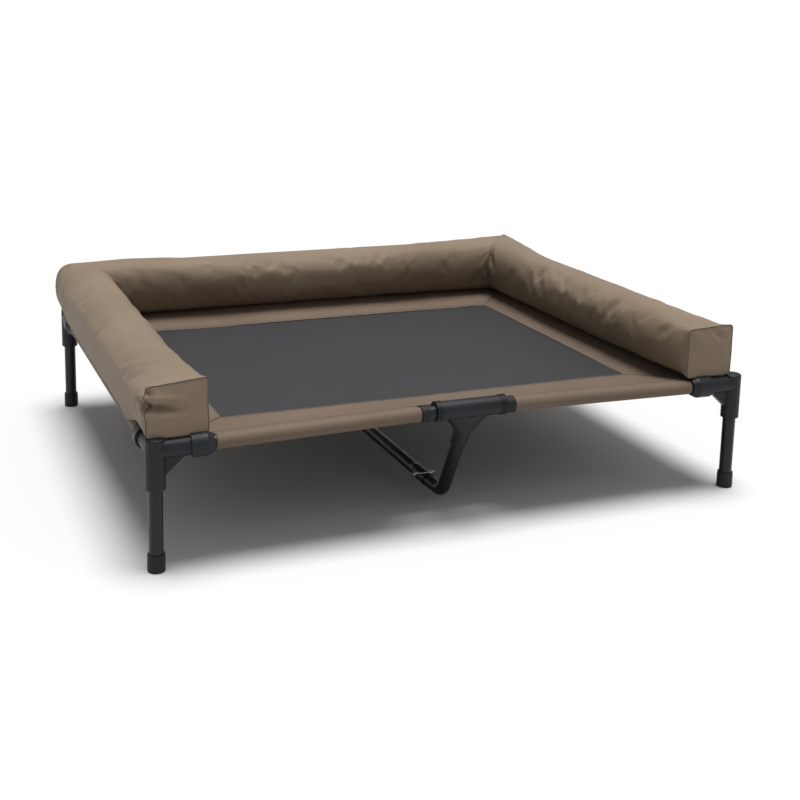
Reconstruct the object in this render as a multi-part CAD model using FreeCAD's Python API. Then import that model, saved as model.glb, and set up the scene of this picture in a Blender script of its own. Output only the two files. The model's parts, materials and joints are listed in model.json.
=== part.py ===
"""Raised dog cot: a tube frame on four legs with a sling and a three-sided bolster.

Sizes are in millimetres. The origin is on the floor under the centre of the bed, +X runs
along a long side to the right, +Y to the back and +Z up. The long side with no bolster is
the front. Most frame pieces are drawn once for the front left corner and mirrored.
"""
import math
import os

import FreeCAD
import Part

Vector = FreeCAD.Vector

# Layout of the frame
leg_spacing_x = 1170.0
leg_spacing_y = 936.0
rail_height = 217.0
tee_rise = 11.0

# Tubes and the gap round a tube in a moulded socket
tube_diameter = 25.0
tube_wall = 1.2
socket_gap = 0.1

# Corner connector
leg_socket_wall = 5.1
leg_socket_drop = 68.7
leg_insertion = 52.0
connector_cap_rise = 20.6
connector_edge_radius = 4.0
arm_wall = 4.8
arm_length = 75.0
rail_insertion = 47.0
web_drop = 47.5
web_reach = 49.6
web_thickness = 14.0

# Collar on each rail end
collar_start = 59.0
collar_length = 29.0
collar_nose_length = 13.0
collar_wall = 9.4
collar_nose_wall = 3.0
collar_edge_radius = 1.2

# Foot cap
foot_height = 31.3
foot_wall = 3.0
foot_floor = 4.0
foot_edge_radius = 2.6
foot_groove_radius = 8.5
foot_groove_width = 3.0
foot_groove_depth = 1.2

# Tee connector in the middle of a long side
tee_barrel_wall = 5.2
tee_half_length = 71.0
tee_partition = 8.0
tee_ridge_count = 3
tee_ridge_width = 2.6
tee_ridge_pitch = 4.6
tee_ridge_height = 1.1
stem_tilt = 27.5
stem_length = 92.0
stem_root_wall = 4.1
stem_mouth_wall = 2.9
stem_insertion = 42.0
funnel_half_width = 50.0
funnel_half_depth = 15.6
funnel_start = 9.0
funnel_end = 58.0

# Ring on a half rail beside the tee
ring_length = 16.0
ring_wall = 3.1
ring_gap_left = 13.0
ring_gap_right = 2.0

# Centre brace
brace_height = 24.0
brace_bend_radius = 36.0
brace_socket_length = 58.0
brace_socket_taper = 12.0
brace_socket_inset = 62.0
brace_overlap = 52.0
brace_gap = 0.2

# Lock pin and its wire bail
pin_diameter = 6.0
pin_hole_gap = 0.15
pin_inset = 35.0
pin_tip_reach = 6.2
pin_head_diameter = 12.0
pin_head_length = 7.0
pin_head_gap = 0.4
pin_groove_depth = 0.8
bail_wire = 2.2
bail_hole_gap = 0.08
bail_leg = 20.0
bail_tail = 4.6
bail_tilt = 20.0
bail_seat_gap = 0.1

# Sling
fabric_thickness = 1.3
sleeve_gap = 0.4
border_width = 155.0
sling_drop = 24.0
corner_cut = 104.0
tee_notch_depth = 34.0
tee_notch_gap = 17.0
mesh_thickness = 0.8
mesh_overlap = 12.0

# Bolsters
bolster_left_overhang = 12.0
bolster_right_overhang = -10.0
bolster_front_overhang = 4.0
bolster_back_overhang = 14.0
bolster_width = 102.0
bolster_end_height = 95.0
bolster_height = 114.0
bolster_crown = 24.0
bolster_end_crown = 6.0
bolster_foot_inset = 3.0
bolster_rail_line = 24.0
bolster_end_pinch = 5.0
bolster_end_round = 26.0
bolster_seat_gap = 0.35
bolster_mitre_gap = 0.3
bolster_settle = 34.0

# Hook and loop strips between sling and bolster
strip_width = 20.0
strip_length = 220.0
strip_thickness = 1.2
strip_gap = 0.3
strip_inset = 215.0

# Worked out from the sizes above
half_x = leg_spacing_x / 2
half_y = leg_spacing_y / 2
tube_radius = tube_diameter / 2
tube_bore = tube_radius - tube_wall
socket_radius = tube_radius + socket_gap
leg_socket_radius = socket_radius + leg_socket_wall
leg_socket_mouth = rail_height - leg_socket_drop
arm_radius = socket_radius + arm_wall
collar_radius = socket_radius + collar_wall
collar_nose_radius = socket_radius + collar_nose_wall
collar_end = collar_start + collar_length + collar_nose_length
rail_end = arm_length - rail_insertion
tee_height = rail_height + tee_rise
barrel_radius = socket_radius + tee_barrel_wall
sleeve_bore = tube_radius + sleeve_gap
sleeve_radius = sleeve_bore + fabric_thickness
socket_start = -half_y + (tee_height - brace_height) * math.tan(math.radians(stem_tilt)) + brace_socket_inset
pin_place = socket_start + pin_inset
mesh_level = rail_height + sleeve_radius - sling_drop
bolster_left_edge = -half_x - bolster_left_overhang
bolster_right_edge = half_x + bolster_right_overhang

corner = Vector(-half_x, -half_y, rail_height)
tee_centre = Vector(0, -half_y, tee_height)
rail_way = tee_centre.sub(corner).normalize()
side_way = Vector(0, 1, 0)
stem_way = Vector(0, math.sin(math.radians(stem_tilt)), -math.cos(math.radians(stem_tilt)))
corners = {
    "front_left": (1, 1),
    "front_right": (-1, 1),
    "back_left": (1, -1),
    "back_right": (-1, -1),
}


def along(start, way, distance):
    """The point that lies a distance from start in the direction of way."""
    return start + way * distance


def rod(start, end, radius):
    """A solid cylinder between two points."""
    span = end.sub(start)
    return Part.makeCylinder(radius, span.Length, start, span)


def pipe(start, end, radius, bore):
    """A hollow cylinder between two points."""
    return rod(start, end, radius).cut(rod(start, end, bore))


def turned(points, start, way):
    """A solid of revolution. Each point is (radius, distance along the axis)."""
    wire = Part.makePolygon([Vector(radius, 0, height) for radius, height in points + points[:1]])
    solid = Part.Face(wire).revolve(Vector(0, 0, 0), Vector(0, 0, 1), 360)
    solid.Placement = FreeCAD.Placement(start, FreeCAD.Rotation(Vector(0, 0, 1), way))
    return solid


def mirrored(shape, sign_x, sign_y):
    """The shape as drawn for the front left, or its mirror image in X, in Y or in both."""
    if sign_x < 0:
        shape = shape.mirror(Vector(0, 0, 0), Vector(1, 0, 0))
    if sign_y < 0:
        shape = shape.mirror(Vector(0, 0, 0), Vector(0, 1, 0))
    return shape


def rounded(shape, radius, wanted):
    """The shape with a fillet on each edge that the wanted test picks."""
    return shape.makeFillet(radius, [edge for edge in shape.Edges if wanted(edge)])


def is_circle(edge, radius, height):
    """Whether an edge is a level circle of that radius at that height."""
    curve = edge.Curve
    if not isinstance(curve, Part.Circle):
        return False
    return abs(curve.Radius - radius) < 0.01 and abs(curve.Center.z - height) < 0.01


def web(way):
    """The triangular web between the leg socket and an arm, in their shared plane."""
    inside = leg_socket_radius - web_thickness / 4
    low = along(corner, way, inside) - Vector(0, 0, web_drop)
    high = along(corner, way, inside)
    far = along(corner, way, web_reach) - Vector(0, 0, arm_radius * 0.92)
    side = way.cross(Vector(0, 0, 1)).normalize() * web_thickness
    face = Part.Face(Part.makePolygon([low, far, high, low]))
    face.translate(side * -0.5)
    return face.extrude(side)


def corner_connector():
    """A moulded connector: a capped socket for the leg and an arm for each of two rails."""
    top = rail_height + connector_cap_rise
    post = Part.makeCylinder(
        leg_socket_radius, top - leg_socket_mouth, Vector(corner.x, corner.y, leg_socket_mouth)
    )
    post = rounded(post, connector_edge_radius, lambda edge: is_circle(edge, leg_socket_radius, top))
    body = post
    for way in (rail_way, side_way):
        body = body.fuse(rod(corner, along(corner, way, arm_length), arm_radius))
        body = body.fuse(web(way))
    leg_top = Vector(corner.x, corner.y, leg_socket_mouth + leg_insertion + socket_gap)
    body = body.cut(rod(Vector(corner.x, corner.y, leg_socket_mouth), leg_top, socket_radius))
    for way in (rail_way, side_way):
        stop = along(corner, way, rail_end - socket_gap)
        body = body.cut(rod(stop, along(corner, way, arm_length), socket_radius))
    return body.removeSplitter()


def collar(way):
    """A collar over the tip of an arm, with a tapered nose on the rail."""
    shoulder = arm_length - collar_start + socket_gap
    nose = collar_length + collar_nose_length
    points = [
        (arm_radius + socket_gap, 0),
        (collar_radius - collar_edge_radius, 0),
        (collar_radius, collar_edge_radius),
        (collar_radius, collar_length),
        (collar_nose_radius, nose),
        (socket_radius, nose),
        (socket_radius, shoulder),
        (arm_radius + socket_gap, shoulder),
    ]
    return turned(points, along(corner, way, collar_start), way)


def leg():
    """A leg tube, from the floor of its foot cap into the corner connector."""
    foot = Vector(corner.x, corner.y, foot_floor)
    top = Vector(corner.x, corner.y, leg_socket_mouth + leg_insertion)
    return pipe(foot, top, tube_radius, tube_bore)


def foot_cap():
    """A moulded cap round the bottom of a leg, with a ring groove in its sole."""
    radius = socket_radius + foot_wall
    groove_in = foot_groove_radius - foot_groove_width / 2
    groove_out = foot_groove_radius + foot_groove_width / 2
    points = [
        (0, 0),
        (groove_in, 0),
        (groove_in, foot_groove_depth),
        (groove_out, foot_groove_depth),
        (groove_out, 0),
        (radius - foot_edge_radius, 0),
        (radius - foot_edge_radius * 0.3, foot_edge_radius * 0.3),
        (radius, foot_edge_radius),
        (radius, foot_height * 0.8),
        (radius - foot_wall * 0.2, foot_height),
        (socket_radius, foot_height),
        (socket_radius, foot_floor),
        (0, foot_floor),
    ]
    return turned(points, Vector(corner.x, corner.y, 0), Vector(0, 0, 1))


def half_rail():
    """Half of a long rail, from a corner connector into the tee."""
    end = along(tee_centre, rail_way, -tee_partition / 2)
    return pipe(along(corner, rail_way, rail_end), end, tube_radius, tube_bore)


def side_rail():
    """A short rail between a front and a back corner connector."""
    start = along(corner, side_way, rail_end)
    return pipe(start, Vector(start.x, -start.y, start.z), tube_radius, tube_bore)


def rail_ring(gap):
    """A ring on a half rail, a gap away from the end of the tee."""
    outer_end = along(tee_centre, rail_way, -(tee_half_length + gap))
    start = along(outer_end, rail_way, -ring_length)
    return pipe(start, outer_end, socket_radius + ring_wall, socket_radius)


def tee_barrel():
    """The barrel of the tee, with a few round ridges near each end."""
    barrel = rod(
        tee_centre - Vector(tee_half_length, 0, 0),
        tee_centre + Vector(tee_half_length, 0, 0),
        barrel_radius,
    )
    for side in (-1, 1):
        for number in range(tee_ridge_count):
            place = tee_half_length - tee_ridge_width / 2 - number * tee_ridge_pitch
            start = tee_centre + Vector(side * place - tee_ridge_width / 2, 0, 0)
            end = start + Vector(tee_ridge_width, 0, 0)
            barrel = barrel.fuse(rod(start, end, barrel_radius + tee_ridge_height))
    return barrel


def funnel():
    """The funnel between barrel and stem: an ellipse along the barrel, narrowed to a circle."""
    frame = FreeCAD.Placement(tee_centre, FreeCAD.Rotation(Vector(1, 0, 0), 180 + stem_tilt))
    wide = Part.Ellipse(Vector(0, 0, funnel_start), funnel_half_width, funnel_half_depth)
    narrow = Part.Circle(Vector(0, 0, funnel_end), Vector(0, 0, 1), socket_radius + stem_root_wall)
    wires = [Part.Wire(wide.toShape()), Part.Wire(narrow.toShape())]
    solid = Part.makeLoft(wires, True, True)
    solid.Placement = frame
    return solid


def tee_connector():
    """A moulded tee: a barrel for two half rails and a stem for the centre brace."""
    root = along(tee_centre, stem_way, funnel_start)
    mouth = stem_length - funnel_start
    stem = turned(
        [
            (0, 0),
            (socket_radius + stem_root_wall, 0),
            (socket_radius + stem_mouth_wall, mouth),
            (0, mouth),
        ],
        root,
        stem_way,
    )
    body = tee_barrel().fuse(funnel()).fuse(stem)
    for side in (-1, 1):
        way = Vector(-rail_way.x * side, 0, -rail_way.z)
        start = along(tee_centre, way, tee_partition / 2 - socket_gap)
        end = along(tee_centre, way, tee_half_length + tee_ridge_width)
        body = body.cut(rod(start, end, socket_radius))
    inner = along(tee_centre, stem_way, stem_length - stem_insertion - socket_gap)
    body = body.cut(rod(inner, along(tee_centre, stem_way, stem_length), socket_radius))
    return body.removeSplitter()


def bent_path(end_y):
    """The centre line of a brace tube: down out of the stem, round a bend and level to end_y."""
    top = along(tee_centre, stem_way, stem_length - stem_insertion)
    drop = (tee_height - brace_height) / -stem_way.z
    knee = along(tee_centre, stem_way, drop)
    turn = math.radians(90 - stem_tilt)
    reach = brace_bend_radius * math.tan(turn / 2)
    before = along(knee, stem_way, -reach)
    after = along(knee, side_way, reach)
    centre = after + Vector(0, 0, brace_bend_radius)
    middle = along(centre, (knee - centre).normalize(), brace_bend_radius)
    return Part.Wire(
        [
            Part.LineSegment(top, before).toShape(),
            Part.Arc(before, middle, after).toShape(),
            Part.LineSegment(after, Vector(0, end_y, brace_height)).toShape(),
        ]
    )


def swept(path, radius):
    """A solid round bar along a path."""
    start = path.Edges[0].valueAt(path.Edges[0].FirstParameter)
    way = path.Edges[0].tangentAt(path.Edges[0].FirstParameter)
    ring = Part.Wire(Part.Circle(start, way, radius).toShape())
    return path.makePipeShell([ring], True, False)


def bent_tube(end_y):
    """A brace tube with its wall."""
    path = bent_path(end_y)
    return swept(path, tube_radius).cut(swept(path, tube_bore))


def pin_hole():
    """The cross hole for the lock pin, through both brace tubes."""
    half = tube_diameter
    centre = Vector(0, pin_place, brace_height)
    return rod(centre - Vector(half, 0, 0), centre + Vector(half, 0, 0), pin_diameter / 2 + pin_hole_gap)


def brace_front():
    """The front brace tube, which plugs into the widened end of the back one."""
    return bent_tube(socket_start + brace_overlap).cut(pin_hole())


def brace_back():
    """The back brace tube, widened at its front end to take the front one."""
    taper_start = socket_start + brace_socket_length
    taper_end = taper_start + brace_socket_taper
    tube = mirrored(bent_tube(-taper_end), 1, -1)
    bore = tube_radius + brace_gap
    points = [
        (bore, 0),
        (bore + tube_wall, 0),
        (bore + tube_wall, brace_socket_length),
        (tube_radius, brace_socket_length + brace_socket_taper),
        (tube_bore, brace_socket_length + brace_socket_taper),
        (bore, brace_socket_length),
    ]
    socket = turned(points, Vector(0, socket_start, brace_height), side_way)
    return tube.fuse(socket).cut(pin_hole())


def pin_reach():
    """How far the outside of the widened brace socket lies from the pin's middle."""
    return tube_radius + brace_gap + tube_wall


def bail_side():
    """How far each leg of the bail lies from the middle of the brace."""
    return pin_reach() + pin_head_gap + pin_head_length / 2


def bail_rise():
    """How high the bail's legs pass over the pin's axis."""
    clearance = pin_diameter / 2 - pin_groove_depth + bail_wire / 2 + bail_seat_gap
    return clearance / math.cos(math.radians(bail_tilt))


def bail_way():
    """The direction of the bail's legs, away from the pin."""
    tilt = math.radians(bail_tilt)
    return Vector(0, -math.cos(tilt), math.sin(tilt))


def lock_pin():
    """The lock pin: a shank with a round head, a grooved tip and a cross hole for the wire."""
    head_outer = bail_side() + pin_head_length / 2
    tip = bail_side() + pin_tip_reach
    groove = pin_diameter / 2 - pin_groove_depth
    groove_half = bail_wire * 0.7
    points = [
        (0, -head_outer),
        (pin_head_diameter / 2, -head_outer),
        (pin_head_diameter / 2, -head_outer + pin_head_length),
        (pin_diameter / 2, -head_outer + pin_head_length),
        (pin_diameter / 2, bail_side() - groove_half),
        (groove, bail_side() - groove_half),
        (groove, bail_side() + groove_half),
        (pin_diameter / 2, bail_side() + groove_half),
        (pin_diameter / 2, tip - pin_diameter / 4),
        (pin_diameter / 4, tip),
        (0, tip),
    ]
    pin = turned(points, Vector(0, pin_place, brace_height), Vector(1, 0, 0))
    hinge = Vector(-bail_side(), pin_place, brace_height + bail_rise())
    hole = rod(
        along(hinge, bail_way(), -pin_head_diameter),
        along(hinge, bail_way(), pin_head_diameter),
        bail_wire / 2 + bail_hole_gap,
    )
    return pin.cut(hole)


def pin_bail():
    """The wire bail: one leg turns in the pin's head, the other rests in the tip's groove."""
    side = bail_side()
    over = Vector(0, pin_place, brace_height + bail_rise())
    tail = along(over, bail_way(), -bail_tail)
    bend = along(over, bail_way(), bail_leg)
    across = Vector(side, 0, 0)
    path = Part.Wire(
        [
            Part.LineSegment(tail - across, bend - across).toShape(),
            Part.Arc(bend - across, along(bend, bail_way(), side), bend + across).toShape(),
            Part.LineSegment(bend + across, tail + across).toShape(),
        ]
    )
    return swept(path, bail_wire / 2)


def border_sheet():
    """The whole border as one sheet that slopes from the rail sleeves down to the mesh."""
    lift = sleeve_radius
    edge_left = Vector(-half_x, -half_y, rail_height + lift)
    edge_middle = Vector(0, -half_y, tee_height + lift)
    inner_x = half_x - border_width
    inner_y = half_y - border_width
    outer = []
    inner = []
    for sign_x, sign_y in ((1, 1), (-1, 1), (-1, -1), (1, -1)):
        outer.append(Vector(edge_left.x * sign_x, edge_left.y * sign_y, edge_left.z))
        inner.append(Vector(-inner_x * sign_x, -inner_y * sign_y, mesh_level))
        if (sign_x, sign_y) in ((1, 1), (-1, -1)):
            outer.append(Vector(0, edge_middle.y * sign_y, edge_middle.z))
            inner.append(Vector(0, -inner_y * sign_y, mesh_level))
    solid = None
    for number in range(len(outer)):
        after = (number + 1) % len(outer)
        rim = Part.LineSegment(outer[number], outer[after]).toShape()
        seam = Part.LineSegment(inner[number], inner[after]).toShape()
        piece = Part.makeRuledSurface(rim, seam).extrude(Vector(0, 0, -fabric_thickness))
        solid = piece if solid is None else solid.fuse(piece)
    return solid


def prism(points, low, high):
    """An upright prism over a plan outline."""
    outline = Part.makePolygon([Vector(x, y, low) for x, y in points + points[:1]])
    return Part.Face(outline).extrude(Vector(0, 0, high - low))


def border_strip(sheet, name):
    """One of the four border strips, between the mitred seams at its ends."""
    low = mesh_level - sling_drop
    high = tee_height + sling_drop * 2
    inner_x = half_x - border_width
    inner_y = half_y - border_width
    if name in ("front", "back"):
        sign = -1 if name == "front" else 1
        outline = [
            (-half_x, sign * half_y),
            (half_x, sign * half_y),
            (inner_x, sign * inner_y),
            (-inner_x, sign * inner_y),
        ]
    else:
        sign = -1 if name == "left" else 1
        outline = [
            (sign * half_x, -half_y),
            (sign * half_x, half_y),
            (sign * inner_x, inner_y),
            (sign * inner_x, -inner_y),
        ]
    strip = sheet.common(prism(outline, low, high))
    for sign_x, sign_y in corners.values():
        triangle = [
            (-half_x * sign_x, -half_y * sign_y),
            ((-half_x + corner_cut) * sign_x, -half_y * sign_y),
            (-half_x * sign_x, (-half_y + corner_cut) * sign_y),
        ]
        strip = strip.cut(prism(triangle, low, high))
        for way in (rail_way, side_way):
            end = along(corner, way, collar_end + sleeve_gap)
            strip = strip.cut(mirrored(rod(corner, end, collar_radius + sleeve_gap), sign_x, sign_y))
    return strip


def long_sleeves(sign_y):
    """The two sleeves of a long border strip, one on each half rail."""
    sleeves = []
    for sign_x, gap in ((1, ring_gap_left), (-1, ring_gap_right)):
        end = along(tee_centre, rail_way, -(tee_half_length + gap + ring_length + sleeve_gap))
        start = along(corner, rail_way, collar_end + sleeve_gap)
        sleeves.append(mirrored(rod(start, end, sleeve_radius), sign_x, sign_y))
    return sleeves


def long_border(sheet, name):
    """The front or back border strip with its sleeves, cut away round the tee."""
    sign_y = 1 if name == "front" else -1
    strip = border_strip(sheet, name)
    left = tee_half_length + ring_gap_left + ring_length + 2 * sleeve_gap
    right = tee_half_length + ring_gap_right + ring_length + 2 * sleeve_gap
    notch = [(-left, -half_y - border_width), (right, -half_y - border_width)]
    notch += [(right, -half_y + tee_notch_gap), (right * 0.8, -half_y + tee_notch_depth)]
    notch += [(-left * 0.8, -half_y + tee_notch_depth), (-left, -half_y + tee_notch_gap)]
    notch_solid = mirrored(prism(notch, mesh_level - sling_drop, tee_height + sling_drop * 2), 1, sign_y)
    strip = strip.cut(notch_solid)
    for sleeve in long_sleeves(sign_y):
        strip = strip.fuse(sleeve)
    for sign_x in (1, -1):
        bore = rod(corner, tee_centre, sleeve_bore)
        strip = strip.cut(mirrored(bore, sign_x, sign_y))
    return strip


def side_border(sheet, name):
    """The left or right border strip with its sleeve."""
    sign_x = 1 if name == "left" else -1
    start = along(corner, side_way, collar_end + sleeve_gap)
    sleeve = rod(start, Vector(start.x, -start.y, start.z), sleeve_radius)
    strip = border_strip(sheet, name).fuse(mirrored(sleeve, sign_x, 1))
    bore = rod(corner, Vector(corner.x, -corner.y, corner.z), sleeve_bore)
    return strip.cut(mirrored(bore, sign_x, 1))


def mesh_panel():
    """The mesh panel, lapped under the inner edges of the border."""
    size_x = leg_spacing_x - 2 * (border_width - mesh_overlap)
    size_y = leg_spacing_y - 2 * (border_width - mesh_overlap)
    low = Vector(-size_x / 2, -size_y / 2, mesh_level - fabric_thickness - mesh_thickness)
    return Part.makeBox(size_x, size_y, mesh_thickness, low)


def bolster_section(across, place, low, high, pinch, crown, droop):
    """A closed section of a stuffed bolster: two straight lines below and three outward arcs.

    The underside is level over the rail and droops from there to the inner side.
    """
    up = Vector(0, 0, 1)
    near = place + across * pinch
    far = place + across * (bolster_width - pinch)
    outer_foot = near + across * bolster_foot_inset + up * low
    rail_foot = place + across * bolster_rail_line + up * low
    inner_foot = far - across * (crown * 0.7) + up * (low - droop)
    outer_shoulder = near + across * crown + up * (high - crown)
    inner_shoulder = far - across * crown + up * (high - crown)
    middle = up * ((low + high) / 2)
    edges = [
        Part.LineSegment(outer_foot, rail_foot),
        Part.LineSegment(rail_foot, inner_foot),
        Part.Arc(inner_foot, far + middle - up * (droop / 2), inner_shoulder),
        Part.Arc(inner_shoulder, (near + far) * 0.5 + up * high, outer_shoulder),
        Part.Arc(outer_shoulder, near + middle, outer_foot),
    ]
    return Part.Wire([edge.toShape() for edge in edges])


def straight_bolster(start, way, across, stations):
    """A stuffed bolster as a loft. Each station is (distance, low, high, pinch, crown, droop)."""
    wires = []
    for distance, *section in stations:
        wires.append(bolster_section(across, along(start, way, distance), *section))
    return Part.makeLoft(wires, True, True)


def bolster_edge(sign_x):
    """Where the outer face of the left (1) or right (-1) bolster lies in X."""
    return bolster_left_edge if sign_x > 0 else bolster_right_edge


def mitre_cut(shape, sign_x, side):
    """The shape on its own side of the mitre plane through a back corner of the bolster set.

    Side is 1 for the side bolster and -1 for the back one.
    """
    corner_x = bolster_edge(sign_x)
    corner_y = half_y + bolster_back_overhang
    far = bolster_width * 3
    gap = side * bolster_mitre_gap / math.sqrt(2)
    outline = [(-far - gap, -far), (far - gap, far), (far * 3, -far) if side > 0 else (-far, far * 3)]
    points = [(corner_x + sign_x * inward, corner_y - forward) for inward, forward in outline]
    return shape.cut(prism(points, 0, rail_height * 3))


def collar_top():
    """The lowest level at which a bolster clears the collars of the long rails."""
    return rail_height + (collar_start + collar_length) * rail_way.z + collar_radius + bolster_seat_gap


def bolster_droop():
    """How far the underside droops at the inner side, a little less than the border slopes."""
    span = bolster_width - bolster_rail_line
    return span * sling_drop / border_width * 0.85


def side_bolster(sign_x):
    """The left or right bolster, from its open front end to the mitre at the back."""
    outer = Vector(bolster_edge(sign_x), -half_y - bolster_front_overhang, 0)
    length = leg_spacing_y + bolster_front_overhang + bolster_back_overhang
    end_low = collar_top()
    end_high = end_low + bolster_end_height
    run_low = rail_height + sleeve_radius + 2 * strip_thickness + strip_gap
    run_high = run_low + bolster_height
    half_high = (end_high + run_high) / 2
    pinch = bolster_end_pinch
    near = collar_end + bolster_front_overhang
    far = length - collar_end - bolster_back_overhang
    square = bolster_end_crown
    full = bolster_crown
    half = (square + full) / 2
    droop = bolster_droop()
    stations = [
        (0, end_low + pinch, end_high - pinch * 1.6, pinch, square, 0),
        (bolster_end_round * 0.35, end_low + pinch * 0.3, end_high - pinch * 0.5, pinch * 0.3, square, 0),
        (bolster_end_round, end_low, end_high, 0, square * 1.5, 0),
        (near * 0.6, end_low, (end_high + half_high) / 2, 0, half, droop / 2),
        (near, end_low, half_high, 0, half * 1.3, droop),
        (near + bolster_settle, run_low, (half_high + run_high) / 2, 0, full, droop),
        (length * 0.4, run_low, run_high, 0, full, droop),
        (far - bolster_settle, run_low, run_high, 0, full, droop),
        (far, end_low, run_high, 0, full, droop),
        (length, end_low, run_high, 0, full, droop),
    ]
    return mitre_cut(straight_bolster(outer, side_way, Vector(sign_x, 0, 0), stations), sign_x, 1)


def back_bolster():
    """The back bolster, mitred at both ends, seated on the back rail and raised over the tee."""
    outer = Vector(bolster_left_edge, half_y + bolster_back_overhang, 0)
    end_low = collar_top()
    tee_low = tee_height + barrel_radius + tee_ridge_height + bolster_seat_gap
    high = rail_height + sleeve_radius + 2 * strip_thickness + strip_gap + bolster_height
    tee_reach = tee_half_length + ring_gap_left + ring_length
    places = [(half_x - collar_end, end_low), (half_x - collar_end - bolster_settle, 0)]
    places += [(tee_reach + bolster_settle, 0), (tee_reach, tee_low)]
    right = []
    for reach, low in places:
        rim = rail_height + tee_rise * (1 - reach / half_x) + sleeve_radius + bolster_seat_gap
        right.append((reach, max(low, rim)))
    left = [(-reach, low) for reach, low in right]
    droop = bolster_droop()
    stations = [(0, end_low, high, 0, bolster_crown, droop)]
    for reach, low in left + right[::-1]:
        stations.append((reach - outer.x, low, high, 0, bolster_crown, droop))
    stations.append((bolster_right_edge - bolster_left_edge, end_low, high, 0, bolster_crown, droop))
    solid = straight_bolster(outer, Vector(1, 0, 0), Vector(0, -1, 0), stations)
    return mitre_cut(mitre_cut(solid, 1, -1), -1, -1)


def strip_block(centre, way, low):
    """One flat strip of hook or loop tape along a rail."""
    side = way.cross(Vector(0, 0, 1)).normalize()
    start = centre - way * (strip_length / 2) - side * (strip_width / 2)
    points = [start, start + way * strip_length]
    points += [points[1] + side * strip_width, start + side * strip_width]
    face = Part.Face(Part.makePolygon([Vector(p.x, p.y, p.z + low) for p in points + points[:1]]))
    return face.extrude(Vector(0, 0, strip_thickness))


def tape_strips(lift):
    """The tape strips of one kind: two along each side rail."""
    solids = []
    for sign_x in (1, -1):
        for sign_y in (1, -1):
            centre = Vector(-half_x * sign_x, -(half_y - strip_inset) * sign_y, rail_height)
            solids.append(strip_block(centre, side_way, sleeve_radius + lift))
    return Part.makeCompound(solids)


def write(name, shape):
    """Writes one named piece, after a test that its solids are sound."""
    shape = shape.removeSplitter() if shape.ShapeType != "Compound" else shape
    solids = shape.Solids
    sound = all(solid.isValid() and solid.Volume > 0 for solid in solids)
    if not solids or not sound:
        raise ValueError(name + " has no sound solid")
    out = solids[0] if len(solids) == 1 else Part.makeCompound(solids)
    out.exportStep(os.path.join("parts", name + ".step"))
    print(name, len(solids), round(sum(solid.Volume for solid in solids)))


def main():
    """Makes every piece of the cot."""
    os.makedirs("parts", exist_ok=True)
    quarter = {
        "corner": corner_connector(),
        "long_collar": collar(rail_way),
        "side_collar": collar(side_way),
        "leg": leg(),
        "foot_cap": foot_cap(),
        "long_rail": half_rail(),
    }
    for place, (sign_x, sign_y) in corners.items():
        for name, shape in quarter.items():
            write(name + "_" + place, mirrored(shape, sign_x, sign_y))
        gap = ring_gap_left if sign_x > 0 else ring_gap_right
        write("rail_ring_" + place, mirrored(rail_ring(gap), sign_x, sign_y))
    for place, sign_x in (("left", 1), ("right", -1)):
        write("side_rail_" + place, mirrored(side_rail(), sign_x, 1))
    tee = tee_connector()
    write("tee_front", tee)
    write("tee_back", mirrored(tee, 1, -1))
    write("brace_tube_front", brace_front())
    write("brace_tube_back", brace_back())
    write("lock_pin", lock_pin())
    write("pin_bail", pin_bail())
    sheet = border_sheet()
    for name in ("front", "back"):
        write("sling_border_" + name, long_border(sheet, name))
    for name in ("left", "right"):
        write("sling_border_" + name, side_border(sheet, name))
    write("mesh_panel", mesh_panel())
    write("bolster_left", side_bolster(1))
    write("bolster_right", side_bolster(-1))
    write("bolster_back", back_bolster())
    write("hook_strips", tape_strips(0))
    write("loop_strips", tape_strips(strip_thickness + strip_gap))


main()
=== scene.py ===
"""Looks of the raised dog cot: coated fabric bolsters and sling on a black tube frame.

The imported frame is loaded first. Hard pieces keep their shape and get a finish. Every
soft piece is made again here: the bolsters as stuffed covers, the sling as sewn sheets.
Lengths are in metres, in the frame's own axes: X along the front, Y to the back, Z up.
"""
import json
import logging
import math
from dataclasses import dataclass, field
from enum import Enum

import bmesh
import bpy
from mathutils import Matrix, Vector, noise
from mathutils.bvhtree import BVHTree


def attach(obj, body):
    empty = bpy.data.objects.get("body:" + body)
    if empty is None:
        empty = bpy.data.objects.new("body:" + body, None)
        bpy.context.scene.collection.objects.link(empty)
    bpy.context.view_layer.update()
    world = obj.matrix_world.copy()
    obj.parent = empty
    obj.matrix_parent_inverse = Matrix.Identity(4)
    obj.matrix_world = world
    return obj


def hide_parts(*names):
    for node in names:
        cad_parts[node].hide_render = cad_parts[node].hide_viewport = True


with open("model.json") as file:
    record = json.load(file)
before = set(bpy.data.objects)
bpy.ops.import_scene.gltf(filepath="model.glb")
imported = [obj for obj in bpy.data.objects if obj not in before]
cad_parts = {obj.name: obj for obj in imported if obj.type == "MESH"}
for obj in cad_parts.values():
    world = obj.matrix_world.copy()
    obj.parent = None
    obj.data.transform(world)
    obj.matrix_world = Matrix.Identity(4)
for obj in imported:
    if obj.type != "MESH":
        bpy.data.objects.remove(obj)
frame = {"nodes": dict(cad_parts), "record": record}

logging.basicConfig(level=logging.INFO, format="%(message)s")
log = logging.getLogger("dog_cot")
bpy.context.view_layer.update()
EDGE = 0.999  # beyond this a point of a unit box lies on the box's edge


class Body(Enum):
    """The bodies of the frame that the pieces made here ride on."""

    FRAME = "frame"
    BOLSTERS = "bolster_set"


class Side(Enum):
    """The sides of the bed, with the sign of the side along its own axis."""

    FRONT = "front"
    BACK = "back"
    LEFT = "left"
    RIGHT = "right"

    @property
    def sign(self) -> int:
        """1 for the right or back side and -1 for the left or front side."""
        return 1 if self in (Side.RIGHT, Side.BACK) else -1


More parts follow.
